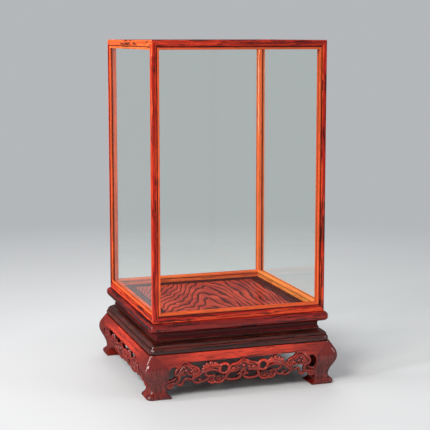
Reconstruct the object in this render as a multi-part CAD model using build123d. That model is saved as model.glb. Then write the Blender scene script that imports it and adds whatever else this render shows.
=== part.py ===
from build123d import *
import os

# Glass display case: a five-sided glazed hood of mitred rosewood members, lifted off
# a carved stand with a waist, an ovolo moulding, openwork aprons and cabriole legs.
# Millimetres, +Z up, front towards -Y. The origin is on the ground, under the centre.

# Hood
hood_side = 276.0
hood_height = 419.0
post_side = 12.0
rail_height = 14.0
arris_radius = 2.0
foot_edge_radius = 1.0
inner_edge_radius = 0.8
lip_width = 3.0
lip_drop = 0.5
lip_crown = 0.6
quirk_width = 1.8
quirk_depth = 1.5

# Panes and their grooves
glass_thickness = 3.0
glass_setback = 3.0
groove_depth = 4.0
groove_play = 0.1
pane_edge_play = 0.5

# Stand, from the ground up: legs and aprons, ovolo moulding, waist, top frame
leg_height = 67.0
moulding_height = 20.0
waist_height = 11.5
bead_height = 15.0

# How far each level of the stand stands outside the hood's outer face
bead_reach = 5.5
bead_radius = 6.0
waist_reach = -5.5
cove_depth = 2.0
fillet_reach = -5.2
moulding_reach = 7.0
shoulder_reach = 8.0
knee_reach = 17.9
ankle_reach = 7.3
toe_reach = 13.0

# Raised floor inside the hood, and the floating panel let into the top frame
floor_rise = 4.5
floor_clearance = 0.5
floor_edge = 0.8
strip_width = 22.0
panel_gap = 0.4
panel_thickness = 8.0
tongue_thickness = 4.0
tongue_length = 5.0
tongue_play = 0.3

# Batten across the underside of the panel
batten_width = 24.0
batten_height = 9.0
batten_tenon_length = 6.0
batten_tenon_width = 16.0
batten_tenon_height = 5.0
tenon_play = 0.15

# Waist and moulding sections
ring_width = 20.0
shelf_height = 1.9
slot_height = 0.9
slot_depth = 1.0
slope_height = 6.6
slope_swell = 0.62
arris_step = 0.8
band_height = 9.0

# Cabriole legs
knee_height = 45.0
ankle_height = 12.6
shoulder_lean = 0.6
toe_height = 3.4
toe_round = 1.6
toe_turn = 1.1
ridge_radius = 3.5
leg_inset = 18.0
heel_spread = 7.0
heel_height = 13.0
heel_curl = 0.3
heel_rise = 0.45
heel_round = 2.0
overrun = 4.0
leg_tenon_side = 10.0
leg_tenon_height = 12.0

# Corner blocks glued behind the waist
block_leg = 26.0

# Openwork of one apron. Distances from its centre line are shares of its half length
# between the legs, and drops are below its top.
# Each hole is an ellipse: share, drop, half width, half height, tilt.
hole_list = [
    (0.944, 29.4, 4.2, 8.8, 6.0),
    (0.779, 34.8, 5.4, 2.8, 0.0),
    (0.554, 21.7, 3.6, 5.0, 0.0),
    (0.550, 38.0, 7.6, 3.2, -15.0),
    (0.412, 31.2, 8.4, 2.8, 18.0),
    (0.255, 27.2, 4.4, 5.6, 0.0),
    (0.132, 38.4, 6.0, 2.4, 0.0),
]
# Lower edge, as share and drop: each lobe runs from one cusp to the next through its tip.
cusp_list = [
    (1.000, 48.0),
    (0.912, 46.5),
    (0.854, 47.0),
    (0.767, 43.5),
    (0.671, 43.0),
    (0.492, 42.0),
    (0.221, 43.5),
    (0.021, 41.4),
]
lobe_list = [
    (0.958, 51.6),
    (0.883, 44.8),
    (0.812, 49.8),
    (0.717, 45.0),
    (0.588, 47.0),
    (0.350, 51.5),
    (0.117, 48.2),
]
middle_notch = 39.4

# Worked out from the sizes above
half = hood_side / 2
moulding_base = leg_height
waist_base = moulding_base + moulding_height
frame_base = waist_base + waist_height
seat = frame_base + bead_height
floor_top = seat + floor_rise
hood_top = seat + hood_height
floor_half = half - post_side - floor_clearance
panel_half = floor_half - strip_width
ring_inner = half - ring_width
leg_inner = half - leg_inset
shoulder_half = half + shoulder_reach
mitre_out = half + post_side
mitre_in = half - 2 * post_side
far = 2 * (hood_side + hood_height)
tiny = 0.01

side_angle = {"front": 0, "right": 90, "back": 180, "left": 270}
corner_angle = {"front_left": 0, "front_right": 90, "back_right": 180, "back_left": 270}


def turned(solid, angle):
    """The same piece on another side of the square plan."""
    return Rot(0, 0, angle) * solid


def front_prism(*points):
    """A prism through the whole case, from an outline seen from the front."""
    return extrude(make_face(Plane.XZ * Polyline(*points, close=True)), amount=far, both=True)


def side_prism(*points):
    """A prism through the whole case, from an outline seen from the right, in y and z."""
    return extrude(make_face(Plane.YZ * Polyline(*points, close=True)), amount=far, both=True)


def plan_prism(*points):
    """A prism through the whole case, from an outline seen from above."""
    return extrude(make_face(Polyline(*points, close=True)), amount=far, both=True)


def member_outline(face_width, corner_radius, second_face):
    """Section of a hood member: x across the glazed face from the outer corner, y back from it.

    Where second_face is true, the other outer face is glazed and moulded as well.
    """
    across = face_width / post_side
    lip_x = face_width - lip_width * across
    quirk_x = lip_x - quirk_width * across
    lip_y = post_side - lip_width
    quirk_y = lip_y - quirk_width
    groove_near = glass_setback
    groove_far = glass_setback + glass_thickness + 2 * groove_play
    low = lip_drop + lip_crown
    edges = [
        Polyline(
            (corner_radius, 0),
            (quirk_x, 0),
            (quirk_x, quirk_depth),
            (lip_x, quirk_depth),
            (lip_x, low),
        ),
        ThreePointArc((lip_x, low), ((lip_x + face_width) / 2, lip_drop), (face_width, low)),
        Polyline(
            (face_width, low),
            (face_width, groove_near),
            (face_width - groove_depth, groove_near),
            (face_width - groove_depth, groove_far),
            (face_width, groove_far),
            (face_width, post_side - inner_edge_radius),
            (face_width - inner_edge_radius, post_side),
        ),
    ]
    if second_face:
        edges += [
            Polyline(
                (face_width - inner_edge_radius, post_side),
                (groove_far, post_side),
                (groove_far, post_side - groove_depth),
                (groove_near, post_side - groove_depth),
                (groove_near, post_side),
                (low, post_side),
            ),
            ThreePointArc((low, post_side), (lip_drop, (lip_y + post_side) / 2), (low, lip_y)),
            Polyline(
                (low, lip_y),
                (quirk_depth, lip_y),
                (quirk_depth, quirk_y),
                (0, quirk_y),
                (0, corner_radius),
            ),
        ]
    else:
        edges += [
            Polyline((face_width - inner_edge_radius, post_side), (0, post_side), (0, corner_radius)),
        ]
    near = corner_radius * (1 - 0.5**0.5)
    edges += [ThreePointArc((0, corner_radius), (near, near), (corner_radius, 0))]
    return make_face(edges)


def hood_post():
    """Front left post: its ends come to a point between the mitres of both faces."""
    plane = Plane((-half, -half, seat - rail_height))
    section = member_outline(post_side, arris_radius, True)
    blank = extrude(plane * section, amount=hood_height + 2 * rail_height)
    bounds = (
        (-mitre_out, seat - rail_height),
        (-mitre_out, hood_top + rail_height),
        (-mitre_in, hood_top - 2 * rail_height),
        (-mitre_in, seat + 2 * rail_height),
    )
    return blank & front_prism(*bounds) & side_prism(*bounds)


def rail_zone(outer_height, inner_height):
    """Space of a front rail between its mitres on the face and in plan, widest on the outside."""
    face = front_prism(
        (-mitre_out, outer_height),
        (mitre_out, outer_height),
        (mitre_in, inner_height),
        (-mitre_in, inner_height),
    )
    plan = plan_prism(
        (-mitre_out, -mitre_out),
        (mitre_out, -mitre_out),
        (mitre_in, -mitre_in),
        (-mitre_in, -mitre_in),
    )
    return face & plan


def hood_top_rail():
    """Front top rail, moulded and grooved on its front and its top."""
    plane = Plane((-mitre_out, -half, hood_top), x_dir=(0, 0, -1), z_dir=(1, 0, 0))
    blank = extrude(plane * member_outline(rail_height, arris_radius, True), amount=2 * mitre_out)
    return blank & rail_zone(hood_top + rail_height, hood_top - 2 * rail_height)


def hood_bottom_rail():
    """Front bottom rail, flat underneath where it stands on the stand."""
    plane = Plane((mitre_out, -half, seat), x_dir=(0, 0, 1), z_dir=(-1, 0, 0))
    blank = extrude(plane * member_outline(rail_height, foot_edge_radius, False), amount=2 * mitre_out)
    return blank & rail_zone(seat - rail_height, seat + 2 * rail_height)


def side_pane():
    """Front pane, standing in the grooves of its four members."""
    width = 2 * (half - post_side + groove_depth - pane_edge_play)
    low = seat + rail_height - groove_depth
    high = hood_top - rail_height + groove_depth - pane_edge_play
    y = -half + glass_setback + groove_play + glass_thickness / 2
    return Pos(0, y, (low + high) / 2) * Box(width, glass_thickness, high - low)


def top_pane():
    """Top pane, lying in the grooves of the top rails."""
    width = 2 * (half - post_side + groove_depth - pane_edge_play)
    underside = hood_top - glass_setback - 2 * groove_play - glass_thickness
    return Pos(0, 0, underside + glass_thickness / 2) * Box(width, width, glass_thickness)


def mitred_length(edges):
    """One front length of a mitred frame, from its section in distance out and height."""
    plane = Plane((far / 2, 0, 0), x_dir=(0, -1, 0), z_dir=(-1, 0, 0))
    blank = extrude(plane * make_face(edges), amount=far)
    return blank & plan_prism((0, 0), (-far / 2, -far / 2), (far / 2, -far / 2))


def top_frame(with_mortise):
    """Top frame member: bullnose edge, seat for the hood, raised floor strip, panel groove."""
    edge = half + bead_reach
    flat = edge - bead_radius
    panel_low = floor_top - panel_thickness
    groove_low = panel_low - tongue_play / 2
    groove_high = panel_low + tongue_thickness + tongue_play / 2
    groove_end = panel_half - panel_gap + tongue_length + tongue_play
    bow = bead_radius * 0.5**0.5
    low_centre = frame_base + bead_radius
    high_centre = seat - bead_radius
    edges = [
        ThreePointArc((flat, frame_base), (flat + bow, low_centre - bow), (edge, low_centre)),
        Polyline((edge, low_centre), (edge, high_centre)),
        ThreePointArc((edge, high_centre), (flat + bow, high_centre + bow), (flat, seat)),
        Polyline(
            (flat, seat),
            (floor_half, seat),
            (floor_half, floor_top - floor_edge),
            (floor_half - floor_edge, floor_top),
            (panel_half, floor_top),
            (panel_half, groove_high),
            (groove_end, groove_high),
            (groove_end, groove_low),
            (panel_half, groove_low),
            (panel_half, frame_base),
            (flat, frame_base),
        ),
    ]
    member = mitred_length(edges)
    if with_mortise:
        width = batten_tenon_width + 2 * tenon_play
        length = batten_tenon_length + tenon_play
        height = batten_tenon_height + 2 * tenon_play
        member -= Pos(0, -panel_half - length / 2, batten_middle()) * Box(width, length, height)
    return member


def batten_middle():
    """Height of the batten's centre, right under the panel."""
    return floor_top - panel_thickness - batten_height / 2


def floor_panel():
    """Floating panel, level with the raised strip, with a tongue all round."""
    side = 2 * (panel_half - panel_gap)
    low = floor_top - panel_thickness
    face = Pos(0, 0, low + panel_thickness / 2) * Box(side, side, panel_thickness)
    tongue_side = side + 2 * tongue_length
    tongue = Pos(0, 0, low + tongue_thickness / 2) * Box(tongue_side, tongue_side, tongue_thickness)
    return face + tongue


def panel_batten():
    """Batten under the panel, tenoned into the front and back of the top frame."""
    middle = batten_middle()
    body = Pos(0, 0, middle) * Box(batten_width, 2 * panel_half, batten_height)
    length = 2 * (panel_half + batten_tenon_length)
    return body + Pos(0, 0, middle) * Box(batten_tenon_width, length, batten_tenon_height)


def waist():
    """Waist length with its cove."""
    face = half + waist_reach
    middle = waist_base + waist_height / 2
    edges = [
        ThreePointArc((face, frame_base), (face - cove_depth, middle), (face, waist_base)),
        Polyline(
            (face, waist_base),
            (ring_inner, waist_base),
            (ring_inner, frame_base),
            (face, frame_base),
        ),
    ]
    return mitred_length(edges)


def moulding():
    """Ovolo moulding: a shelf bead, a slot, a slope that swells outwards, and a plain band."""
    shelf = half + fillet_reach
    edge = half + moulding_reach
    shelf_low = waist_base - shelf_height
    slot_low = shelf_low - slot_height
    slope_low = slot_low - slope_height
    band_top = moulding_base + band_height
    slope_edge = edge - 2 * arris_step
    slot_back = shelf - slot_depth
    edges = [
        ThreePointArc(
            (shelf, waist_base),
            (shelf + shelf_height / 3, waist_base - shelf_height / 2),
            (shelf, shelf_low),
        ),
        Polyline((shelf, shelf_low), (slot_back, shelf_low), (slot_back, slot_low), (shelf, slot_low)),
        ThreePointArc(
            (shelf, slot_low),
            (shelf + (slope_edge - shelf) * slope_swell, slot_low - slope_height * (1 - slope_swell)),
            (slope_edge, slope_low),
        ),
        Polyline((slope_edge, slope_low), (slope_edge - arris_step, band_top), (slope_edge, band_top)),
        ThreePointArc(
            (slope_edge, band_top),
            (edge, band_top - band_height / 3),
            (edge - arris_step, moulding_base),
        ),
        Polyline(
            (edge - arris_step, moulding_base),
            (ring_inner, moulding_base),
            (ring_inner, waist_base),
            (shelf, waist_base),
        ),
    ]
    length = mitred_length(edges)
    for sign in (-1, 1):
        length -= leg_tenon(sign, tenon_play)
    return length


def leg_tenon(sign, play):
    """Square tenon on top of a front leg, or with play the mortise for it."""
    side = leg_tenon_side + 2 * play
    height = leg_tenon_height + play
    middle = (leg_inner + half) / 2
    return Pos(sign * middle, -middle, moulding_base + height / 2) * Box(side, side, height)


def bulge_curve(sign):
    """Outer line of legs and aprons: shoulder, knee, ankle and out-turned, rounded toe."""
    points = [
        (sign * shoulder_half, leg_height),
        (sign * (half + knee_reach), knee_height),
        (sign * (half + ankle_reach), ankle_height),
        (sign * (half + toe_reach), toe_height),
        (sign * (half + toe_reach - toe_round), 0),
    ]
    tangents = [(sign * shoulder_lean, -1), (0, -1), (0, -1), (0, -1), (-sign * toe_turn, -1)]
    return Spline(*points, tangents=tangents)


def leg_face(sign):
    """Leg outline in distance out and height, run past both ends for the ridge to be rounded."""
    high = (sign * (shoulder_half - shoulder_lean * overrun), leg_height + overrun)
    toe = half + toe_reach - toe_round
    low = (sign * (toe - toe_turn * overrun), -overrun)
    heel = leg_inner - heel_spread
    sole_end = heel + heel_round
    heel_bow = heel_round * (1 - 0.5**0.5)
    return make_face(
        [
            Line(high, (sign * shoulder_half, leg_height)),
            bulge_curve(sign),
            Polyline((sign * toe, 0), low, (sign * sole_end, -overrun), (sign * sole_end, 0)),
            ThreePointArc(
                (sign * sole_end, 0),
                (sign * (heel + heel_bow), heel_bow),
                (sign * heel, heel_round),
            ),
            ThreePointArc(
                (sign * heel, heel_round),
                (sign * (leg_inner - heel_spread * heel_curl), heel_height * heel_rise),
                (sign * leg_inner, heel_height),
            ),
            Polyline((sign * leg_inner, heel_height), (sign * leg_inner, leg_height + overrun), high),
        ]
    )


def on_apron(share, drop):
    """A point of the openwork as distance out and height."""
    return (share * leg_inner, leg_height - drop)


def apron_zone():
    """Space of the front apron before carving: between the shoulder mitres, down to the lobes."""
    mitre_low = (leg_inner, leg_height - leg_inset)
    cusps = [on_apron(*cusp) for cusp in cusp_list]
    lobes = [on_apron(*lobe) for lobe in lobe_list]
    right = [Line((half, leg_height), mitre_low), Line(mitre_low, cusps[0])]
    for start, tip, end in zip(cusps[:-1], lobes, cusps[1:]):
        right.append(ThreePointArc(start, tip, end))
    left = [mirror(edge, Plane.YZ) for edge in right]
    middle = ThreePointArc(right[-1] @ 1, on_apron(0, middle_notch), left[-1] @ 1)
    top = Line((-half, leg_height), (half, leg_height))
    outline = make_face(right + left + [middle, top])
    return extrude(Plane.XZ.offset(half) * outline, amount=far / 2 - half)


def apron():
    """Front apron: bulged like the legs, flat behind, with the openwork cut through."""
    back = Polyline(
        (-half - toe_reach + toe_round, 0),
        (-leg_inner, 0),
        (-leg_inner, leg_height),
        (-shoulder_half, leg_height),
    )
    profile = make_face(Plane.YZ * Curve([bulge_curve(-1), back]))
    blank = extrude(profile, amount=far / 2, both=True) & apron_zone()
    holes = []
    for share, drop, half_width, half_height, tilt in hole_list:
        out, height = on_apron(share, drop)
        for sign in (-1, 1):
            place = Plane.XZ * Pos(sign * out, height) * Rot(0, 0, sign * tilt)
            holes.append(extrude(place * Ellipse(half_width, half_height), amount=far / 2))
    return blank - holes


def leg():
    """Front left leg: bulged on both outer faces, cut to the shoulder mitres, with its tenon."""
    seen_front = extrude(Plane.XZ * leg_face(-1), amount=far / 2, both=True)
    seen_side = extrude(Plane.YZ * leg_face(-1), amount=far / 2, both=True)
    blank = seen_front & seen_side
    on_diagonal = blank.edges().filter_by(lambda edge: abs(edge.center().X - edge.center().Y) < tiny)
    ridge = [edge for edge in on_diagonal if edge.center().X < -leg_inner - ridge_radius]
    blank = fillet(ridge, ridge_radius) & Pos(0, 0, leg_height / 2) * Box(far, far, leg_height)
    zone = apron_zone()
    return blank - zone - turned(zone, 270) + leg_tenon(-1, 0)


def corner_block():
    """Triangular block glued in the front left corner, behind waist and moulding."""
    corner = -ring_inner
    inward = corner + block_leg
    outline = Polyline((corner, corner), (inward, corner), (corner, inward), close=True)
    return extrude(Pos(0, 0, moulding_base) * make_face(outline), amount=frame_base - moulding_base)


def build():
    """All pieces by node name."""
    pieces = {"glass_top": top_pane(), "floor_panel": floor_panel(), "panel_batten": panel_batten()}
    by_side = {
        "hood_top_rail": hood_top_rail(),
        "hood_bottom_rail": hood_bottom_rail(),
        "glass": side_pane(),
        "waist": waist(),
        "moulding": moulding(),
        "apron": apron(),
    }
    by_corner = {"hood_post": hood_post(), "leg": leg(), "corner_block": corner_block()}
    for side, angle in side_angle.items():
        for name, solid in by_side.items():
            pieces[f"{name}_{side}"] = turned(solid, angle)
        pieces[f"top_frame_{side}"] = turned(top_frame(side in ("front", "back")), angle)
    for corner, angle in corner_angle.items():
        for name, solid in by_corner.items():
            pieces[f"{name}_{corner}"] = turned(solid, angle)
    return pieces


os.makedirs("parts", exist_ok=True)
for node, solid in build().items():
    export_step(solid, f"parts/{node}.step")
    print(node, round(solid.volume))
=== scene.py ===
# %% [markdown]
# # A glass display case in glossy rosewood
# The case is a glass hood, framed in thin mitred members, that lifts straight off a carved
# stand. Its solids come packed from the CAD side as a fixed frame, already in place and in
# metres, with +Z up and the front towards -Y. This lesson dresses them: the wood first, then
# the corners and legs that are drawn again, the floor panel, the glass, the openwork aprons,
# and last the studio.

from math import cos, pi, radians, sin

import bmesh
import bpy
import numpy as np
from mathutils import Matrix, Vector
from mathutils.bvhtree import BVHTree


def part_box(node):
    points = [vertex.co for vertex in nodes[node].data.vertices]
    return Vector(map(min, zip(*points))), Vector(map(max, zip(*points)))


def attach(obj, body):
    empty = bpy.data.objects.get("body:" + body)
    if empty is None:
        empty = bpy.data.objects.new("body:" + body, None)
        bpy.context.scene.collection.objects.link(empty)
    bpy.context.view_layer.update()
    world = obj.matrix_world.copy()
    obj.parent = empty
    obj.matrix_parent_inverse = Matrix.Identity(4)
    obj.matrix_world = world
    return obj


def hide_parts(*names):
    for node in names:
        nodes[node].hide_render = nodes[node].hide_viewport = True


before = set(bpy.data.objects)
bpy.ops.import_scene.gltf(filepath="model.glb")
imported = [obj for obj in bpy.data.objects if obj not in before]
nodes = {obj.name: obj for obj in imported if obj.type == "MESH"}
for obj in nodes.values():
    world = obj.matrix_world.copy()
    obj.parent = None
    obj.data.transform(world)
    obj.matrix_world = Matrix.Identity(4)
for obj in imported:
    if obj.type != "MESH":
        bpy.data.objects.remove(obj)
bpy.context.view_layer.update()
mm = 0.001

# %% [markdown]
# ## Shader sums in plain Python
# A material is a graph of nodes, and even `1 - mask` takes a Math node and two links. A small
# class that wraps a socket and overloads the operators lets the recipe be written as a sum.
# A second class holds the material and has one method that adds any node: the settings come
# first, because they can change which sockets the node has, and then its sockets.


# %% Wrap a socket so that sums work on it
class Signal:
    """A value that changes over the surface."""

    def __init__(self, finish, socket):
        self.finish = finish
        self.socket = socket

    def __add__(self, other):
        return self.finish.maths("ADD", self, other)

    def __radd__(self, other):
        return self.finish.maths("ADD", other, self)

    def __sub__(self, other):
        return self.finish.maths("SUBTRACT", self, other)

    def __rsub__(self, other):
        return self.finish.maths("SUBTRACT", other, self)

    def __mul__(self, other):
        return self.finish.maths("MULTIPLY", self, other)

    def __rmul__(self, other):
        return self.finish.maths("MULTIPLY", other, self)


class Finish:
    """A material, or a world, while it is being mixed."""

    def __init__(self, owner, output="ShaderNodeOutputMaterial"):
        self.owner = owner
        self.output = output
        owner.use_nodes = True
        self.tree = owner.node_tree
        self.tree.nodes.clear()

    def add(self, kind, settings=None, sockets=None, out=0):
        """Adds a node and returns one of its outputs."""
        node = self.tree.nodes.new(kind)
        for name, value in (settings or {}).items():
            if name == "stops":
                ramp = node.color_ramp.elements
                while len(ramp) < len(value):
                    ramp.new(0.5)
                for stop, (place, level) in zip(ramp, value):
                    stop.position = place
                    stop.color = (level, level, level, 1)
            else:
                setattr(node, name, value)
        for name, value in (sockets or {}).items():
            if isinstance(value, Signal):
                self.tree.links.new(value.socket, node.inputs[name])
            else:
                node.inputs[name].default_value = value
        return Signal(self, node.outputs[out]) if node.outputs else None

    def close(self, shader):
        """Joins the finished shader to the output."""
        self.add(self.output, {}, {"Surface": shader})
        return self.owner

    def maths(self, operation, *values):
        """A Math node on one or two values."""
        return self.add("ShaderNodeMath", {"operation": operation}, dict(enumerate(values)))

    def ramp(self, value, *stops):
        """A value from 0 to 1 sent through a ramp of (place, level) stops."""
        return self.add("ShaderNodeValToRGB", {"stops": stops}, {"Fac": value})

    def blend(self, share, low, high):
        """A colour between two colours."""
        settings = {"data_type": "RGBA"}
        return self.add("ShaderNodeMix", settings, {0: share, 6: low, 7: high}, out=2)

    def place_in_mm(self):
        """Where the surface lies in the frame, in millimetres."""
        return self.stretch(self.add("ShaderNodeTexCoord", out="Object"), (1000, 1000, 1000))

    def pick(self, vector, axis):
        """The x, y or z of a vector."""
        return self.add("ShaderNodeSeparateXYZ", {}, {0: vector}, "xyz".index(axis))

    def stretch(self, vector, factors):
        """A vector with each part multiplied."""
        return self.add("ShaderNodeVectorMath", {"operation": "MULTIPLY"}, {0: vector, 1: factors})

    def shift(self, vector, way):
        """A vector moved by another."""
        return self.add("ShaderNodeVectorMath", {"operation": "ADD"}, {0: vector, 1: way})

    def noise(self, vector, scale, detail=2.0, rough=0.5, out=0):
        """Cloudy noise round one half; its second output is a colour, used as a vector."""
        sockets = {"Vector": vector, "Scale": scale, "Detail": detail, "Roughness": rough}
        return self.add("ShaderNodeTexNoise", {}, sockets, out)


print("sums ready")

# %% [markdown]
# ## Rosewood
# The real timber is orange to dark red with thin near-black streaks that run along each
# member, under a thick gloss lacquer. A picture of the wood would have to be cut to every
# mitre. Here the grain is worked out from where a point lies in the frame instead: noise that
# is squeezed across the grain and drawn out along it, so a member's streaks follow its length.
# The darker tones belong to the stand, whose wood is nearly black between its lights.


# %% Paints, in linear light
def paint(red, green, blue):
    """A colour as painters' charts give it, 0 to 255, in linear light."""
    levels = (red / 255, green / 255, blue / 255)
    linear = [((c + 0.055) / 1.055) ** 2.4 if c > 0.04 else c / 12.92 for c in levels]
    return (*linear, 1.0)


hood_tones = {"light": paint(242, 84, 38), "mid": paint(170, 30, 18), "dark": paint(36, 7, 7)}
top_tones = {"light": paint(206, 56, 30), "mid": paint(134, 22, 16), "dark": paint(30, 6, 6)}
# Lit copies of the hood wood: lighter tones, partly painted light from the left.
lit_golden_tones = {"light": paint(255, 176, 80), "mid": paint(246, 128, 54), "dark": paint(90, 22, 12)}
lit_orange_tones = {"light": paint(255, 128, 58), "mid": paint(228, 86, 40), "dark": paint(60, 14, 10)}
frame_tones = {"light": paint(150, 32, 25), "mid": paint(84, 13, 13), "dark": paint(20, 5, 5)}
waist_tones = {"light": paint(104, 22, 20), "mid": paint(64, 10, 10), "dark": paint(26, 4, 4)}
stand_tones = {"light": paint(92, 32, 22), "mid": paint(46, 18, 14), "dark": paint(16, 7, 7)}
# The apron's tones are lighter than the legs': partly the stand's own wood, partly painted light from above
# on its swelling band.
apron_tones = {"light": paint(200, 58, 36), "mid": paint(132, 30, 22), "dark": paint(40, 8, 8)}
leg_tones = {"light": paint(124, 34, 24), "mid": paint(84, 17, 15), "dark": paint(44, 9, 9)}
bare_tones = {"light": paint(168, 110, 74), "mid": paint(140, 86, 56), "dark": paint(96, 54, 36)}
knee_tone = paint(104, 24, 18)
# Painted highlight for the lip of a hood member, next to the glass.
lip_highlight_tone = paint(246, 112, 56)
# Painted dark reflection for the raised strip round the floor panel.
strip_reflection_tone = paint(50, 15, 12)
# Painted shade for the apron's hollows, the second tone for the deepest gouges.
hollow_shade_tone = paint(84, 15, 12)
deepest_shade_tone = paint(16, 4, 4)
print("red of the hood's light wood:", round(hood_tones["light"][0], 3))

# %% [markdown]
# Some tones follow the form of a member, and several are painted light. The lip of a hood
# member, next to the glass, gets a painted highlight, with painted shade in the quirk beside
# it. The strip round the floor panel is painted nearly black, a painted dark reflection. A leg
# darkens towards its knee, and the apron towards its ends, and painted shade darkens its
# hollows. Each is a mask from the place on the surface, scaled to run from 0 to 1, that blends
# in one more tone. The named edges are in millimetres, from the middle of the case or from the
# table.

# %% Tones that follow the form
post_edge = 126.0
top_rail_edge = 518.5
bottom_rail_edge = 127.5
under_strip = 110.0


def reach_from_glass(finish, in_mm, part):
    """How many millimetres a place on a hood member's face is from the edge at the glass."""
    if part == "post":
        sides = [finish.maths("ABSOLUTE", finish.pick(in_mm, axis)) for axis in "xy"]
        return finish.maths("MINIMUM", *sides) - post_edge
    height = finish.pick(in_mm, "z")
    return height - top_rail_edge if part == "top_rail" else bottom_rail_edge - height


def painted_lip_highlight_and_quirk_shade(finish, colour, in_mm, part, dark):
    """Paints a highlight on the lip, 3 mm wide at the glass, and shade in the quirk, half as wide, beside
    it.
    """
    centimetres = reach_from_glass(finish, in_mm, part) * 0.1
    lip = finish.ramp(centimetres, (0.28, 1), (0.31, 0))
    quirk = finish.ramp(centimetres, (0.3, 0), (0.32, 1), (0.46, 1), (0.49, 0))
    colour = finish.blend(quirk * 0.75, colour, dark)
    return finish.blend(lip * 0.45, colour, lip_highlight_tone)


def painted_strip_reflection(finish, colour, in_mm):
    """Paints the top frame's raised strip nearly black from 114 mm up: a painted dark reflection."""
    centimetres = 0.1 * (finish.pick(in_mm, "z") - under_strip)
    return finish.blend(finish.ramp(centimetres, (0.4, 0), (0.5, 1)) * 0.7, colour, strip_reflection_tone)


def dark_knee(finish, colour, in_mm):
    """Darkens a leg from 34 mm up to its knee."""
    at_knee = finish.ramp(finish.pick(in_mm, "z") * 0.01, (0.34, 0), (0.58, 1))
    return finish.blend(at_knee * 0.8, colour, knee_tone)


def near_leg_tone_and_hollow_shade(finish, colour, in_mm, along):
    """Darkens an apron from 68 mm aside to the legs, and paints shade wherever the gouge went deep."""
    depth = finish.add("ShaderNodeAttribute", {"attribute_name": "hollow"}, out="Fac")
    aside = finish.maths("ABSOLUTE", finish.pick(in_mm, along))
    near_leg = finish.ramp(aside * 0.005, (0.34, 0), (0.6, 1))
    colour = finish.blend(near_leg * 0.8, colour, knee_tone)
    colour = finish.blend(finish.ramp(depth, (0.02, 0), (0.35, 1)) * 0.6, colour, hollow_shade_tone)
    return finish.blend(finish.ramp(depth, (0.4, 0), (0.78, 1)) * 0.93, colour, deepest_shade_tone)


print("posts end", post_edge, "mm from the middle")

# %% [markdown]
# The wood itself is several noises over each other: broad bands of light and dark, fine dark
# flecks, sharp veins that gather where the heart of the tree lay, and pores that make the
# surface a little uneven. A slow noise sways them all but the pores. The lacquer is the
# shader's coat. It is taken down where the surface turns away, because dark wood would
# otherwise show the pale studio as a haze at its edges.

# %% Mix a rosewood
ALONG = {"x": (0.012, 1, 1), "y": (1, 0.012, 1), "z": (1, 1, 0.012)}


def rosewood(name, along, tones, streaks, gloss, offset=(0, 0, 0), lacquer=1.4, part=None):
    """Lacquered wood with its grain along x, y or z."""
    finish = Finish(bpy.data.materials.new(name))
    in_mm = finish.place_in_mm()
    moved = finish.shift(in_mm, offset)
    grain = finish.stretch(moved, ALONG[along])
    sway = {0: finish.noise(moved, 0.02, out=1), "Scale": 7.0}
    swayed = finish.shift(grain, finish.add("ShaderNodeVectorMath", {"operation": "SCALE"}, sway))
    broad = finish.ramp(finish.noise(swayed, 0.13, 3, 0.55), (0.38, 0), (0.62, 1))
    fine = finish.ramp(finish.noise(swayed, 1.0, 3, 0.6), (0.46, 0), (0.64, 1))
    heart = finish.ramp(finish.noise(moved, 0.009, 1), (0.42, 0), (0.6, 1))
    vein_from = 0.62 - 0.06 * streaks
    veins = finish.noise(swayed, 0.45, 4, 0.62) + 0.06 * heart
    lines = finish.ramp(veins, (vein_from, 0), (vein_from + 0.05, 1))
    pores = finish.ramp(finish.noise(grain, 2.4), (0.5, 0), (0.7, 1))
    colour = finish.blend(broad, tones["mid"], tones["light"])
    colour = finish.blend(fine * 0.5, colour, tones["dark"])
    colour = finish.blend(lines * 0.85, colour, tones["dark"])
    if part == "apron":
        colour = near_leg_tone_and_hollow_shade(finish, colour, in_mm, along)
    elif part == "leg":
        colour = dark_knee(finish, colour, in_mm)
    elif part == "frame":
        colour = painted_strip_reflection(finish, colour, in_mm)
    elif part:
        colour = painted_lip_highlight_and_quirk_shade(finish, colour, in_mm, part, tones["dark"])
    facing = finish.add("ShaderNodeLayerWeight", {}, {"Blend": 0.5}, out="Facing")
    turned_away = finish.ramp(facing, (0.3, 0), (0.8, 1))
    relief = {"Strength": 0.05, "Distance": 0.0002, "Height": pores * -1.0}
    sockets = {
        "Base Color": colour,
        "Roughness": 0.32 + 0.25 * pores,
        "Specular IOR Level": 0.0,
        "Coat Weight": gloss - 0.85 * gloss * turned_away,
        "Coat IOR": lacquer,
        "Coat Roughness": 0.03,
        "Normal": finish.add("ShaderNodeBump", {}, relief),
    }
    return finish.close(finish.add("ShaderNodeBsdfPrincipled", {}, sockets))


print("grain runs along", sorted(ALONG))

# %% [markdown]
# ## Give every member its wood
# The imported nodes keep their meshes; only their materials change. A family of members shares
# one recipe per direction, and because the grain depends on the place in the frame, no two
# members come out alike. Four members of the hood get lighter tones: partly a tone that differs
# from length to length, partly painted light for the strong light their faces catch from the
# left. The corner blocks and the batten are hidden, so they stay bare wood.

# %% Rails, posts and hidden wood
SIDE_RUNS = {"front": "x", "back": "x", "left": "y", "right": "y"}
corner_turns = {"front_left": 0, "front_right": 1, "back_right": 2, "back_left": 3}
hood_gloss = 0.65
carved_gloss = 0.7
hood_lacquer = 1.4
stand_lacquer = 1.5
carved_lacquer = 1.65


def dress(node, material):
    """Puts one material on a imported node."""
    mesh = nodes[node].data
    mesh.materials.clear()
    mesh.materials.append(material)


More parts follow.
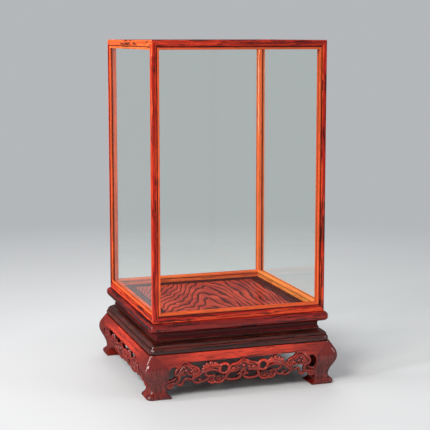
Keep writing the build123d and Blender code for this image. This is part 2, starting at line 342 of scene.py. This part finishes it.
# A wood is its tones, how streaky it is, its gloss, its place in the log, its lacquer's
# strength of reflection, and the part it is cut for.
rails = {
    "hood_top_rail": (top_tones, 1.2, hood_gloss, (0, 0, 0), hood_lacquer, "top_rail"),
    "hood_bottom_rail": (hood_tones, 0.9, hood_gloss, (40, 10, 90), hood_lacquer, "bottom_rail"),
}
for family, wood in rails.items():
    woods = {run: rosewood(f"{family}_{run}", run, *wood) for run in "xy"}
    for side, run in SIDE_RUNS.items():
        dress(f"{family}_{side}", woods[run])

post_wood = rosewood("hood_post_z", "z", hood_tones, 1.2, hood_gloss, part="post")
block_wood = rosewood("corner_block_z", "z", bare_tones, 0.3, 0.0)
for corner in corner_turns:
    dress(f"hood_post_{corner}", post_wood)
    dress(f"corner_block_{corner}", block_wood)
dress("panel_batten", rosewood("panel_batten_y", "y", bare_tones, 0.3, 0.0))
print(len(bpy.data.materials), "materials so far")

# %% Lighter tones on four members, partly painted light
other_log = (15, 0, 40)
lighter = {
    "hood_bottom_rail_right": ("lit_golden_rail_y", "y", lit_golden_tones, 0.5, other_log, "bottom_rail"),
    "hood_bottom_rail_back": ("lit_orange_rail_x", "x", lit_orange_tones, 0.7, other_log, "bottom_rail"),
    "hood_top_rail_left": ("lit_orange_rail_y", "y", lit_orange_tones, 0.8, (0, 0, 0), "top_rail"),
    "hood_post_back_right": ("lit_orange_post_z", "z", lit_orange_tones, 0.8, other_log, "post"),
}
for node, (name, along, tones, streaks, offset, part) in lighter.items():
    dress(node, rosewood(name, along, tones, streaks, hood_gloss, offset, hood_lacquer, part))
print("lighter members:", len(lighter))

# %% [markdown]
# ## Softened corners on the stand
# The top frame, waist and moulding are mitred lengths. On the real stand their corners were
# sanded round before lacquering, and the near corner catches a long highlight. Each length is
# drawn again from its own section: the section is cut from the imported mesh, and then led along
# the side and round half of a small arc at both ends, up to the mitre. Every side is drawn at
# the front and then turned, so the four match.

# %% Cut a section from a packed length
cut_at = 60 * mm
straight = 0.99999


def section_of(node):
    """The closed outline of a front length, as distance out and height."""
    mesh = nodes[node].data
    neighbours = {}
    for polygon in mesh.polygons:
        ends = []
        for edge in polygon.edge_keys:
            start, end = (mesh.vertices[v].co for v in edge)
            if (start.x - cut_at) * (end.x - cut_at) < 0:
                place = start.lerp(end, (cut_at - start.x) / (end.x - start.x))
                ends.append((round(-place.y, 6), round(place.z, 6)))
        if len(ends) == 2 and ends[0] != ends[1]:
            neighbours.setdefault(ends[0], []).append(ends[1])
            neighbours.setdefault(ends[1], []).append(ends[0])
    outline = []
    here = next(iter(neighbours))
    while here:
        outline.append(Vector(here))
        here = next((n for n in neighbours.pop(here) if n in neighbours), None)
    bends = []
    for i, place in enumerate(outline):
        before = (place - outline[i - 1]).normalized()
        after = (outline[(i + 1) % len(outline)] - place).normalized()
        if before.dot(after) < straight:
            bends.append(place)
    return bends


print("cutting", cut_at / mm, "mm to the right of the middle")

# %% Helpers for pieces drawn again
quarter_turns = {"front": 0, "right": 1, "back": 2, "left": 3}
weld = 1e-6


def closed_mesh(name, places, faces):
    """A mesh with doubled corners welded and every face turned outwards."""
    mesh = bpy.data.meshes.new(name)
    mesh.from_pydata(places, [], faces)
    work = bmesh.new()
    work.from_mesh(mesh)
    bmesh.ops.remove_doubles(work, verts=work.verts, dist=weld)
    bmesh.ops.recalc_face_normals(work, faces=work.faces)
    work.to_mesh(mesh)
    work.free()
    return mesh


def turned_piece(name, mesh, turns, wood, crease=35):
    """A mesh drawn at the front, turned to its place, dressed and shaded smooth."""
    mesh.transform(Matrix.Rotation(turns * pi / 2, 4, "Z"))
    mesh.materials.append(wood)
    mesh.set_sharp_from_angle(angle=radians(crease))
    for polygon in mesh.polygons:
        polygon.use_smooth = True
    piece = bpy.data.objects.new(name, mesh)
    bpy.context.scene.collection.objects.link(piece)
    return piece


print("sides:", list(quarter_turns))

# %% Draw the lengths again
sharp = 0.05 * mm
corner_steps = 8


def rounded_length(name, outline, soft, inside):
    """A front length whose outer corners are round, and whose part within is mitred sharp."""
    angles = [radians(a) for a in np.linspace(225, 270, corner_steps)]
    columns = []
    for out, height in outline:
        radius = soft if out > inside else sharp
        centre = out - radius
        column = [(radius * cos(a) - centre, radius * sin(a) - centre, height) for a in angles]
        column += [(-x, y, z) for x, y, z in reversed(column)]
        columns.append(column)
    count = 2 * corner_steps
    faces = []
    for i in range(len(columns)):
        j = (i + 1) % len(columns)
        for k in range(count - 1):
            faces.append((i * count + k, j * count + k, j * count + k + 1, i * count + k + 1))
    faces.append([i * count for i in range(len(columns))])
    faces.append([i * count + count - 1 for i in range(len(columns))])
    return closed_mesh(name, [place for column in columns for place in column], faces)


# A length has its wood and slot, its corner's radius and how far out the rounding starts, in mm.
lengths = {
    "top_frame": ((frame_tones, 1.4, 0.7, (10, 70, 20), stand_lacquer, "frame"), "frame_wood", 4.0, 130),
    "waist": ((waist_tones, 0.4, 0.35, (0, 30, 50), stand_lacquer), "stand_wood", 2.0, 126),
    "moulding": ((stand_tones, 0.6, 0.95, (70, 0, 10), stand_lacquer), "stand_wood", 9.5, 130),
}
for family, (wood, slot, soft, inside) in lengths.items():
    outline = section_of(f"{family}_front")
    woods = {run: rosewood(f"{family}_{run}", run, *wood) for run in "xy"}
    for side, turns in quarter_turns.items():
        name = f"{family}_soft_{side}"
        mesh = rounded_length(name, outline, soft * mm, inside * mm)
        piece = turned_piece(name, mesh, turns, woods[SIDE_RUNS[side]])
        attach(piece, "stand")
        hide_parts(f"{family}_{side}")
    print(family, "section has", len(outline), "corners")

# %% [markdown]
# ## Legs with a rounder ridge
# The legs get the same treatment. A leg is square in plan at every height, so its form is kept
# by two lines: how far out its faces swell and how far in they reach at the heel. Both are read
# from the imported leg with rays. It is drawn again from them, ring by ring, with a rounder
# ridge, and keeps the mitres for the aprons.

# %% Read the outer and inner lines of a leg
leg_mesh = nodes["leg_front_left"].data
leg_faces = [face.vertices for face in leg_mesh.polygons]
leg_tree = BVHTree.FromPolygons([vertex.co for vertex in leg_mesh.vertices], leg_faces)
leg_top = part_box("moulding_front")[0][2]
ray_gap = 0.4 * mm
rays = 160
up_the_face = -0.139
up_the_heel = -0.129
under_the_stand = -0.05
swell_heights = np.linspace(ray_gap, leg_top - ray_gap, rays)


def ray_to_leg(start, way):
    """Where a ray first meets the leg."""
    return leg_tree.ray_cast(Vector(start), Vector(way))[0]


swell_out = [-ray_to_leg((up_the_face, -1, h), (0, 1, 0)).y for h in swell_heights]
inner_out = [-ray_to_leg((under_the_stand, up_the_heel, h), (-1, 0, 0)).x for h in swell_heights]


def swell(height):
    """How far out the face of a leg is at a height."""
    return np.interp(height, swell_heights, swell_out)


print("knee", round(max(swell_out) / mm, 1), "mm out, ankle", round(min(swell_out) / mm, 1))

# %% Draw the legs again
ridge = 8.0 * mm
mitre_low = 49.0 * mm
apron_back = 138.0 * mm


def leg_ring(height):
    """Outline of the front left leg at a height, as distances out to the left and to the front."""
    out = float(swell(height))
    inner = float(np.interp(height, swell_heights, inner_out))
    cut = max(inner, inner + height - mitre_low)
    angles = [radians(a) for a in np.linspace(90, 0, 10)]
    arc = [(out - ridge + ridge * cos(a), out - ridge + ridge * sin(a)) for a in angles]
    before_arc = (cut + out - ridge) / 2 if cut < out - ridge - mm else cut
    half_ring = [(inner, apron_back), (cut, apron_back), (cut, out), (before_arc, out)]
    return [(inner, inner), *half_ring, *arc, *[(b, a) for a, b in reversed(half_ring)]]


def soft_leg(name):
    """The front left leg as rings joined from the sole to the shoulder."""
    top = leg_top / mm
    steps = [np.arange(0, 6, 0.4), np.arange(6, 20, 0.8), np.arange(20, top, 1.2)]
    heights = np.unique(np.concatenate([*steps, [mitre_low / mm, top]])) * mm
    rings = [[(-a, -b, h) for a, b in leg_ring(h)] for h in heights]
    count = len(rings[0])
    faces = []
    for i in range(len(rings) - 1):
        for k in range(count):
            j = (k + 1) % count
            faces.append((i * count + k, i * count + j, (i + 1) * count + j, (i + 1) * count + k))
    faces.append(range(count))
    faces.append(range((len(rings) - 1) * count, len(rings) * count))
    return closed_mesh(name, [place for ring in rings for place in ring], faces)


leg_wood = rosewood("leg_z", "z", leg_tones, 0.8, carved_gloss, (0, 0, 0), carved_lacquer, "leg")
for corner, turns in corner_turns.items():
    name = f"leg_soft_{corner}"
    piece = turned_piece(name, soft_leg(name), turns, leg_wood)
    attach(piece, "stand")
    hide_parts(f"leg_{corner}")
print("a leg has", len(piece.data.polygons), "faces now")

# %% [markdown]
# ## Figured floor panel
# The floor is one wide board cut through the heart of the wood, so its growth rings show as
# nested arches. Height lines of a rounded valley give the arches, and the valley leans a little
# to one side. A slow noise bends them, a finer one makes them waver, and both are drawn out
# along the board. A ramp turns each step into a line that fades to one side.


# %% Mix the panel's figure
def figured_panel():
    """The board's arches: x runs across it and y along it, both in millimetres."""
    finish = Finish(bpy.data.materials.new("floor_panel"))
    in_mm = finish.place_in_mm()
    back = finish.pick(in_mm, "y")
    across = finish.pick(in_mm, "x") - back * 0.3 + 14.0
    valley = finish.maths("POWER", finish.maths("ABSOLUTE", across), 1.6)
    arch = back * 0.2 + valley * 0.038
    drawn_out = finish.stretch(in_mm, (1, 0.25, 1))
    wander = finish.noise(drawn_out, 0.014) * 52.0 + finish.noise(drawn_out, 0.06) * 8.0
    rings = finish.maths("FRACT", (arch + wander) * 0.14)
    lines = finish.ramp(rings, (0.0, 0.3), (0.06, 1), (0.24, 1), (0.42, 0.25), (0.85, 0.0))
    broad = finish.ramp(finish.noise(in_mm, 0.02), (0.35, 0), (0.65, 1))
    pores = finish.ramp(finish.noise(finish.stretch(in_mm, (0.05, 1, 1)), 2.0), (0.5, 0), (0.7, 1))
    colour = finish.blend(broad, paint(156, 44, 31), paint(208, 74, 49))
    colour = finish.blend(pores * 0.3, colour, paint(60, 14, 12))
    colour = finish.blend(lines * 0.85, colour, paint(34, 8, 8))
    sockets = {
        "Base Color": colour,
        "Roughness": 0.35 + 0.2 * pores,
        "Specular IOR Level": 0.0,
        "Coat Weight": 0.16,
        "Coat IOR": 1.35,
        "Coat Roughness": 0.05,
    }
    return finish.close(finish.add("ShaderNodeBsdfPrincipled", {}, sockets))


dress("floor_panel", figured_panel())

# %% [markdown]
# ## Glass
# A flat pane only shows as a faint tint and as reflections that grow towards grazing angles.
# A true glass shader would bend every ray twice and darken what stands behind it. Mixing a
# tinted clear shader with a mirror, by how far the pane is turned away, looks the same and
# lets the light in. A Fresnel node would see the far face of a pane as glass looked at from
# inside and turn it into a full mirror, so the share is worked out from Layer Weight.


# %% Mix the glass
def clear_glass():
    """A faintly green clear pane that mirrors more as it turns away."""
    finish = Finish(bpy.data.materials.new("clear_glass"))
    clear = finish.add("ShaderNodeBsdfTransparent", {}, {"Color": (0.968, 0.982, 0.974, 1)})
    mirror = finish.add("ShaderNodeBsdfGlossy", {}, {"Color": (1, 1, 1, 1), "Roughness": 0.02})
    facing = finish.add("ShaderNodeLayerWeight", {}, {"Blend": 0.5}, out="Facing")
    shine = 0.014 + 0.5 * finish.maths("POWER", facing, 5.0)
    return finish.close(finish.add("ShaderNodeMixShader", {}, {0: shine, 1: clear, 2: mirror}))


glass = clear_glass()
panes = ("front", "right", "back", "left", "top")
for pane in panes:
    dress(f"glass_{pane}", glass)
print("panes:", len(panes))

# %% [markdown]
# ## The carved aprons
# Each apron is a swelling board, cut through in cloud heads, rings and vines, that meets the
# legs in a mitre. Its solid in the frame only has the swell, the lobes and a few holes. The
# carver's drawing is kept here as strands, grounds and beads for half an apron. They are
# built flat, melted into one skin by a voxel remesh, which rounds every hollow as a gouge
# and lacquer do, and then laid on the swell of the legs.

# %% [markdown]
# A strand is a line of points with a radius and a depth below the face; a ground is a closed
# outline with a depth; a bead is a ball. All are in millimetres from the apron's centre line
# and from the floor, for the right half, and are mirrored to the left.

# %% The carver's drawing
STRANDS = [
    # head in the middle
    (1.3, 1.5, [(0, 53.6), (4, 52), (8, 49.2), (13, 47.6), (18, 46.6), (22, 43.6), (23, 39.8), (20.6, 36.6),
                (16.6, 36.4), (14.6, 39.2), (16.8, 41.4)]),
    (1.0, 1.7, [(0, 49.6), (4, 48.2), (7.5, 45.6), (11, 44.2), (13.5, 44)]),
    # ring
    (2.0, 2.4, [(31, 49), (26.2, 47.2), (24, 41.5), (25.6, 35.6), (30.8, 33), (36.4, 35.2), (38.4, 41),
                (36.2, 47), (31, 49)]),
    # hooked strand under the head
    (1.9, 3.0, [(26.5, 35), (23, 32.5), (25.6, 28), (25, 22.6), (20, 20.6), (13, 20.2), (6.5, 21.2),
                (2.4, 24.6), (3, 28.6), (7, 29.8)]),
    (1.8, 3.0, [(0, 37.5), (2.8, 33.5), (3.2, 29)]),
    (1.8, 3.0, [(21.5, 33.5), (15, 34.6), (9, 35.6)]),
    # cloud, loop and vine
    (1.8, 2.4, [(38.8, 46), (43, 47.6), (48, 47.4), (53, 48.6), (57, 46.8), (61.5, 44.8), (66, 42.4)]),
    (1.7, 2.3, [(39, 43.2), (45.5, 44.8), (52, 44.2), (58, 42.2), (62, 39.8), (66.5, 37), (71.5, 33.4),
                (76.5, 29.4), (79.6, 27)]),
    (1.6, 2.6, [(40.5, 37.4), (46, 39.8), (52, 40.6), (57.4, 39.4), (60.8, 35.8), (59.4, 32), (54.8, 30.4),
                (49.8, 31)]),
    (1.8, 2.8, [(66, 37.6), (70, 39.4), (73.4, 38.2)]),
    (1.8, 3.0, [(79.8, 27.2), (77.2, 22.6), (72.6, 20.2), (67.8, 20.6), (66.2, 24.4), (68.6, 27)]),
    (1.8, 3.0, [(67, 22.6), (62.4, 21.4), (58, 23.4), (54.5, 27)]),
    # head hanging between loop and floor
    (1.4, 2.2, [(27, 28), (28.2, 22.6), (31.6, 18.6), (36.2, 17), (40.6, 17.6), (43, 18.8), (46, 17.4),
                (50.4, 18.2), (54.2, 22), (55, 26.8), (52.4, 30.4), (47.6, 31.2), (44.6, 28)]),
    (1.1, 2.4, [(31, 27), (32.6, 22.6), (36.8, 20.8), (40.8, 23.6), (39.6, 27), (36.2, 27.2)]),
    (1.1, 2.4, [(43.6, 22), (48.4, 21.2), (51.2, 24.6), (49.6, 28), (46.4, 27.2)]),
    # large head by the leg
    (1.4, 1.5, [(76.4, 35), (73, 36.6), (71.4, 40.4), (73, 44.6), (77.4, 47.6), (82, 49), (85.6, 52.2),
                (90, 55), (94, 55.6), (98.6, 53), (102, 48.4), (106.6, 45.4), (108.6, 41), (107, 36.8),
                (103, 35.4)]),
    (1.1, 1.7, [(79.4, 36.2), (76.2, 38), (75.6, 41.4), (78.6, 44.2), (83.4, 45.4), (87.4, 48.8),
                (91.4, 51.2), (95, 50.6), (98, 47), (102, 43), (103.4, 40)]),
    (1.2, 1.8, [(85.6, 36.4), (80.6, 36), (78.8, 39.6), (81.6, 42)]),
    (1.2, 1.8, [(92.6, 36.6), (98, 36.2), (101, 39.2), (99, 42.6), (95.8, 41.4)]),
    # stem, leaf and curl
    (2.0, 2.8, [(80.6, 36.6), (78.6, 32), (79.8, 27.6), (84.6, 27.2), (88.6, 29.4), (92.6, 27.2),
                (94.4, 22.4), (97.6, 18.6), (101.8, 20)]),
    (2.2, 2.6, [(103.6, 36.4), (101.4, 31.6), (101.8, 26), (105.2, 22.2), (110, 22.6)]),
    (1.6, 1.9, [(107.6, 30.6), (111.6, 27.6), (117, 26.2), (120, 22), (119, 16.8), (115, 14.6),
                (111.2, 16.8), (111, 21.2), (114.4, 22.6), (116.4, 19.8), (114.6, 18.4)]),
]
GROUNDS = [
    (2.3, [(0, 53), (5, 51), (9, 48), (14, 47), (19, 46), (22, 43), (22, 39.5), (19.5, 36.6), (14, 36),
           (7, 35.6), (0, 36.2)]),
    (2.6, [(28, 26), (29.4, 22), (33, 18.4), (38, 17.6), (43, 19.4), (48, 18), (52.6, 21), (54.4, 26),
           (51.6, 30), (46, 30.6), (38, 30.6), (32, 29.4)]),
    (2.3, [(76.5, 35.4), (72.6, 38), (72.6, 43), (77.8, 47), (83, 48.4), (87, 52), (92, 55), (97, 53.4),
           (101.4, 47.4), (106.6, 44), (107.6, 39), (104.4, 35.8), (98, 34.4), (92, 35.4), (85, 34.8)]),
    (2.6, [(100.4, 34.6), (99.4, 29), (101.6, 22.6), (106.6, 20.4), (112, 22), (118, 25.6), (119.8, 27),
           (119.8, 31), (115.6, 29.6), (110.4, 30.6), (106.8, 34), (104.2, 37)]),
    (0.15, [(116.5, 26), (118.4, 31), (119, 40), (117.6, 46), (113.6, 49.8), (108.6, 49.8), (105.4, 47),
            (101.8, 48), (98.6, 53.4), (92, 56), (84, 56.2), (84, 60), (119.8, 60), (119.8, 26)]),
    (2.9, [(112, 21.5), (110.6, 17), (115.4, 14.6), (119.8, 16), (119.8, 26), (115, 26)]),
]
BEADS = [
    (0, 43.2, 2.7), (9.2, 39.8, 2.5), (18.2, 39.8, 1.9), (45.4, 50.2, 3.1), (51.8, 51.6, 3.3),
    (58.6, 49.8, 2.8), (63, 46.8, 2.8), (41.6, 48.2, 2.2), (36.4, 24, 1.7), (46.8, 24.6, 1.9),
    (91, 42.6, 2.9), (83, 40.2, 2.3), (97.4, 39.8, 2.3), (88, 38.2, 1.8), (94, 47.2, 1.6),
    (85.4, 26.6, 2.9), (98.8, 19.4, 2.4), (115, 20, 1.6), (23.4, 33.8, 2.6), (69.4, 26.2, 2),
    (7, 29.4, 2.2),
]
print(len(STRANDS), "strands,", len(GROUNDS), "grounds,", len(BEADS), "beads in half an apron")

# %% [markdown]
# Every strand becomes a closed rounded strip, every ground a flat slab and every bead a ball,
# all in one mesh. They may cross freely, because the remesh that follows keeps only the
# outside. Depth runs from 0 at the face to the thickness of the board.

# %% Turn the drawing into closed skins
board = 7.0
plump = 1.22
strip_sides = 12
overrun = 0.8
bead_below_face = 0.1


def eased(points, steps=6):
    """A smooth line through points."""
    line = []
    path = np.array(points, float)
    last = len(path) - 1
    for i in range(last):
        before, start, end, after = path[max(i - 1, 0)], path[i], path[i + 1], path[min(i + 2, last)]
        for t in np.arange(steps) / steps:
            line.append(
                start
                + (end - before) * t / 2
                + (2 * before - 5 * start + 4 * end - after) * t**2 / 2
                + (3 * start - before - 3 * end + after) * t**3 / 2
            )
    return np.array([*line, path[-1]])


def strand(flat, points, radius, depth, sign):
    """A rounded strip: half round in front, straight-sided down to the back of the board."""
    line = eased(points)
    radius *= plump
    ways = np.gradient(line, axis=0)
    ways /= np.linalg.norm(ways, axis=1)[:, None]
    ends = [line[0] - ways[0] * radius * overrun, line[-1] + ways[-1] * radius * overrun]
    line = np.vstack([ends[0], line, ends[1]])
    ways = np.vstack([ways[0], ways, ways[-1]])
    radii = np.full(len(line), radius)
    radii[[0, -1]] *= 0.5
    rings = []
    for (out, height), (way_out, way_up), size in zip(line, ways, radii):
        ring = []
        for angle in np.linspace(0, 2 * pi, strip_sides, endpoint=False):
            aside, into = size * cos(angle), size * sin(angle)
            into = into if into < 0 else into * (board - depth) / radius
            place = (sign * (out - way_up * aside), depth + into, height + way_out * aside)
            ring.append(flat.verts.new(Vector(place) * mm))
        rings.append(ring)
    for low, high in zip(rings[:-1], rings[1:]):
        for i in range(strip_sides):
            j = (i + 1) % strip_sides
            flat.faces.new((low[i], low[j], high[j], high[i]))
    flat.faces.new(rings[0])
    flat.faces.new(rings[-1])


def ground(flat, points, depth, sign):
    """A flat slab from a depth down to the back of the board."""
    low = [flat.verts.new(Vector((sign * x, board, z)) * mm) for x, z in points]
    high = [flat.verts.new(Vector((sign * x, depth, z)) * mm) for x, z in points]
    flat.faces.new(low)
    flat.faces.new(high)
    for i in range(len(points)):
        j = (i + 1) % len(points)
        flat.faces.new((low[i], low[j], high[j], high[i]))


def bead(flat, out, height, radius, sign):
    """A ball that stands just under the face."""
    place = Matrix.Translation(Vector((sign * out, radius + bead_below_face, height)) * mm)
    bmesh.ops.create_icosphere(flat, subdivisions=3, radius=radius * mm, matrix=place)


flat = bmesh.new()
for sign in (-1, 1):
    for radius, depth, points in STRANDS:
        strand(flat, points, radius, depth, sign)
    for depth, points in GROUNDS:
        ground(flat, points, depth, sign)
    for out, height, radius in BEADS:
        bead(flat, out, height, radius, sign)
bmesh.ops.recalc_face_normals(flat, faces=flat.faces)
drawing = bpy.data.meshes.new("apron_drawing")
flat.to_mesh(drawing)
flat.free()
print(len(drawing.polygons), "faces before melting")

# %% Melt the skins into one
voxel = 0.42 * mm
smoothing_rounds = 3


def melted(mesh):
    """The skins as one smooth surface."""
    blank = bpy.data.objects.new("melt", mesh)
    bpy.context.scene.collection.objects.link(blank)
    remesh = blank.modifiers.new("melt", "REMESH")
    remesh.mode = "VOXEL"
    remesh.voxel_size = voxel
    soften = blank.modifiers.new("soften", "SMOOTH")
    soften.factor = 0.5
    soften.iterations = smoothing_rounds
    evaluated = blank.evaluated_get(bpy.context.evaluated_depsgraph_get())
    done = bpy.data.meshes.new_from_object(evaluated)
    bpy.data.objects.remove(blank)
    return done


carved = melted(drawing)
print(len(carved.polygons), "faces after melting")

# %% [markdown]
# The plain band above the openwork is not melted: it has to meet the legs' mitres and the
# moulding crisply, so it is a grid of its own. Its lower edge dips round the large heads, and
# its ends slope at the mitre.

# %% Add the band
face_rows = 24
DIP = np.array([(0, 55.2), (84, 55.2), (89, 57), (96, 57), (101.5, 52), (105.5, 50.4), (114, 50.4),
                (117.6, 49.6), (120, 49), (138, 67)])


def band(mesh):
    """Adds the plain band over the openwork: its face, a small eased edge and its back."""
    outs = np.unique(np.concatenate([np.linspace(0, 84, 40), np.linspace(84, 138, 70)]))
    outs = np.concatenate([-outs[:0:-1], outs])
    top = leg_top / mm
    work = bmesh.new()
    work.from_mesh(mesh)
    columns = []
    for out in outs:
        low = float(np.interp(abs(out), DIP[:, 0], DIP[:, 1]))
        room = top - low
        rows = [(low + room * share, 0) for share in np.linspace(1, 0.03, face_rows)]
        rows += [(low + room * 0.008, 0.12), (low, 0.45), (low, board), (top, board)]
        columns.append([work.verts.new(Vector((out, depth, height)) * mm) for height, depth in rows])
    for left, right in zip(columns[:-1], columns[1:]):
        for i in range(len(left)):
            j = (i + 1) % len(left)
            work.faces.new((left[i], left[j], right[j], right[i]))
    bmesh.ops.remove_doubles(work, verts=[v for column in columns for v in column], dist=weld)
    work.to_mesh(mesh)
    work.free()


band(carved)
print(len(carved.polygons), "faces with the band")

# %% [markdown]
# The flat carving is then laid on the swell of the legs, by moving every point forwards by how
# far out the legs are at its height. Depth below the face is worth keeping for the finish: the
# wood is painted darker in the hollows, as painted shade. It is stored on the vertices as an
# attribute, which the apron's wood reads.

# %% Lay the carving on the swell
darkest = 3.5 * mm
points = np.empty(len(carved.vertices) * 3)
carved.vertices.foreach_get("co", points)
points = points.reshape(-1, 3)
depths = points[:, 1].copy()
points[:, 1] = points[:, 1] - swell(points[:, 2])
carved.vertices.foreach_set("co", points.ravel())
hollow = carved.attributes.new("hollow", "FLOAT", "POINT")
hollow.data.foreach_set("value", np.clip(depths / darkest, 0, 1))
carved.update()
print("deepest", round(depths.max() / mm, 1), "mm")

# %% Place four aprons
for side, turns in quarter_turns.items():
    offset = (90 * turns, 35 * turns, 12 * turns)
    lacquered = (carved_gloss, offset, carved_lacquer, "apron")
    wood = rosewood(f"carved_{side}", SIDE_RUNS[side], apron_tones, 0.6, *lacquered)
    piece = turned_piece(f"carved_apron_{side}", carved.copy(), turns, wood, crease=50)
    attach(piece, "stand")
    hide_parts(f"apron_{side}")
print("aprons carved:", len(quarter_turns))

# %% [markdown]
# ## Camera
# The view is from the front left, a little above the middle of the case, with a long lens from
# nearly two metres, as such a case is usually shown. The shift is small, so that other views
# and the lifted hood stay in the picture.

# %% Place the camera
look_down = 7.57
look_right = 18.36
camera_data = bpy.data.cameras.new("camera")
camera_data.sensor_width = 36.0
camera_data.lens = 97.69
camera_data.shift_y = -0.0558
camera_data.clip_start = 0.05
camera_data.clip_end = 50
camera = bpy.data.objects.new("camera", camera_data)
bpy.context.scene.collection.objects.link(camera)
camera.location = (-0.5838, -1.7728, 0.5384)
camera.rotation_euler = (radians(90 - look_down), 0, radians(-look_right))
bpy.context.scene.camera = camera
print("camera at", [round(v, 3) for v in camera.location])

# %% [markdown]
# ## Studio
# A pale floor fades out into a pale world, so that there is no horizon. The world gives even
# light, but a camera ray, a mirrored ray or one through glass sees a plain grey instead.
# Five soft lamps light the case: a large key from the front left and above, a tall strip on
# the left that draws the long highlights on rounded corners, a crown over the left side, a
# fill from the right, and one behind for the edges.


# %% Floor
def pale_floor():
    """A faintly mottled grey that thins out away from the case."""
    finish = Finish(bpy.data.materials.new("studio_floor"))
    place = finish.add("ShaderNodeTexCoord", out="Object")
    mottle = finish.ramp(finish.noise(place, 3.0), (0.3, 0), (0.7, 1))
    colour = finish.blend(mottle, (0.58, 0.59, 0.6, 1), (0.6, 0.61, 0.62, 1))
    away = finish.add("ShaderNodeVectorMath", {"operation": "LENGTH"}, {0: place}, out="Value")
    alpha = finish.ramp(away * 0.5, (0.2, 1), (0.75, 0))
    sockets = {"Base Color": colour, "Roughness": 0.6, "Specular IOR Level": 0.3, "Alpha": alpha}
    return finish.close(finish.add("ShaderNodeBsdfPrincipled", {}, sockets))


floor_mesh = bpy.data.meshes.new("studio_floor")
reach = 2.0
corners = [(-reach, -reach, 0), (reach, -reach, 0), (reach, reach, 0), (-reach, reach, 0)]
floor_mesh.from_pydata(corners, [], [(0, 1, 2, 3)])
floor_mesh.materials.append(pale_floor())
floor = bpy.data.objects.new("studio_floor", floor_mesh)
bpy.context.scene.collection.objects.link(floor)
print("floor", 2 * reach, "m wide")


# %% World
def studio_world():
    """Even light on the case, and a plain grey behind it."""
    world = Finish(bpy.data.worlds.new("studio"), "ShaderNodeOutputWorld")
    rays = ("Is Camera Ray", "Is Glossy Ray", "Is Transmission Ray")
    camera_ray, glossy_ray, clear_ray = (world.add("ShaderNodeLightPath", out=ray) for ray in rays)
    seen = world.maths("MAXIMUM", world.maths("MAXIMUM", camera_ray, glossy_ray), clear_ray)
    light = world.add("ShaderNodeBackground", {}, {"Color": (0.95, 0.97, 1.0, 1), "Strength": 0.42})
    grey = world.add("ShaderNodeBackground", {}, {"Color": (0.46, 0.475, 0.49, 1), "Strength": 1.0})
    return world.close(world.add("ShaderNodeMixShader", {}, {0: seen, 1: light, 2: grey}))


bpy.context.scene.world = studio_world()
print("world:", bpy.context.scene.world.name)


# %% Lamps
def soft_lamp(name, place, target, size, power, colour=(1, 1, 1)):
    """A rectangular lamp at a place, aimed at a target, with its size in metres."""
    data = bpy.data.lights.new(name, "AREA")
    data.shape = "RECTANGLE"
    data.size, data.size_y = size
    data.energy = power
    data.color = colour
    lamp = bpy.data.objects.new(name, data)
    bpy.context.scene.collection.objects.link(lamp)
    lamp.location = place
    aim = Vector(target) - Vector(place)
    lamp.rotation_euler = aim.to_track_quat("-Z", "Y").to_euler()


soft_lamp("key", (-2.7, -2.4, 2.8), (0, 0, 0.2), (1.3, 1.4), 126, (1, 0.96, 0.91))
soft_lamp("strip", (-2.6, -0.8, 1.1), (0, 0, 0.15), (0.34, 2.1), 46)
soft_lamp("crown", (-2.0, 0.15, 2.7), (0, 0, 0.1), (0.6, 1.5), 32)
soft_lamp("fill", (3.0, -2.4, 1.9), (0, 0, 0.25), (1.9, 1.9), 36)
soft_lamp("back", (0.95, 3.0, 2.5), (0, 0, 0.3), (2.2, 0.95), 30)
bpy.context.scene.view_settings.view_transform = "Standard"
print("lamps:", len(bpy.data.lights))
